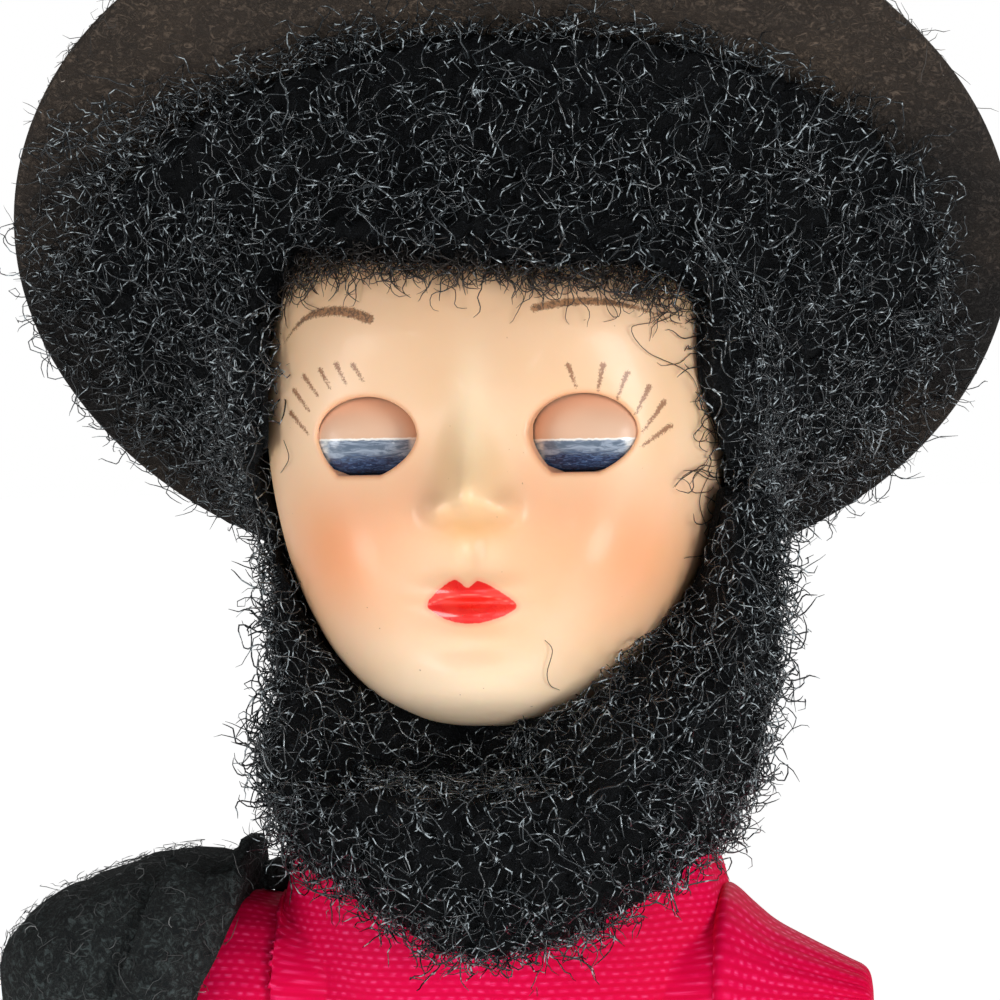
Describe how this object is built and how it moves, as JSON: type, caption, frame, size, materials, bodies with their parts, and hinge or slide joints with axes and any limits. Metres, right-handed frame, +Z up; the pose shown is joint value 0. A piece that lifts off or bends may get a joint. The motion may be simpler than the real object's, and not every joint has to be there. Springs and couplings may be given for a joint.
{
  "type": "costume doll",
  "caption": "Standing moulded doll with sleep eyes and strung arms, dressed as a bearded Amish man in wide-brimmed felt hat, crimson shirt and black coat; stands on its flat soles.",
  "frame": {"origin": "middle of the doll's bounding box in X and Y, on the surface it stands on", "axes": "+Z up, the doll faces -Y, its right side is at -X"},
  "size_m": [0.0763, 0.0582, 0.2126],
  "materials": {
    "skin_plastic": "waxy gloss, moulded flesh plastic",
    "eye_enamel": "painted blue iris below a flesh lid",
    "steel_wire": "drawn wire",
    "lead_weight": "dull cast metal",
    "elastic_band": "natural rubber",
    "crimson_taffeta": "ribbed weave with a soft sheen",
    "coat_felt": "fuzzy felt",
    "hat_felt": "fuzzy felt",
    "hat_ribbon": "plain ribbon",
    "curled_fibre": "glossy curled fibre"
  },
  "bodies": {
    "torso": {"body_front_shell": "skin_plastic", "body_back_shell": "skin_plastic", "neck_hook": "steel_wire", "stringing_band": "elastic_band", "shirt_body": "crimson_taffeta", "trousers": "coat_felt", "trouser_waistband": "coat_felt", "coat_body": "coat_felt"},
    "head": {"face_shell": "skin_plastic", "head_back_shell": "skin_plastic", "hair_pile": "curled_fibre", "beard_pile": "curled_fibre", "hat_brim": "hat_felt", "hat_crown": "hat_felt", "hat_band": "hat_ribbon"},
    "eyes": {"eye_left": "eye_enamel", "eye_right": "eye_enamel", "eye_rocker": "steel_wire", "eye_weight": "lead_weight"},
    "left_arm": {"arm_left": "skin_plastic", "arm_hook_left": "steel_wire", "shirt_sleeve_left": "crimson_taffeta", "coat_sleeve_left": "coat_felt"},
    "right_arm": {"arm_right": "skin_plastic", "arm_hook_right": "steel_wire", "shirt_sleeve_right": "crimson_taffeta", "coat_sleeve_right": "coat_felt", "coat_front_fold": "coat_felt"}
  },
  "joints": [
    {"name": "head_turn", "type": "hinge", "parent": "torso", "child": "head", "pos_m": [0, -0.0077, 0.1505], "axis": [0, 0, 1], "range_deg": [-10, 10]},
    {"name": "eyes_tilt", "type": "hinge", "parent": "head", "child": "eyes", "pos_m": [0, -0.0164, 0.174], "axis": [1, 0, 0], "range_deg": [-35, 40]},
    {"name": "left_shoulder_swing", "type": "hinge", "parent": "torso", "child": "left_arm", "pos_m": [0.0159, -0.0077, 0.131], "axis": [-1, 0, 0], "range_deg": [-45, 95], "deforming": ["stringing_band"]},
    {"name": "right_shoulder_swing", "type": "hinge", "parent": "torso", "child": "right_arm", "pos_m": [-0.0159, -0.0077, 0.131], "axis": [-1, 0, 0], "range_deg": [-45, 95], "deforming": ["stringing_band"]}
  ]
}
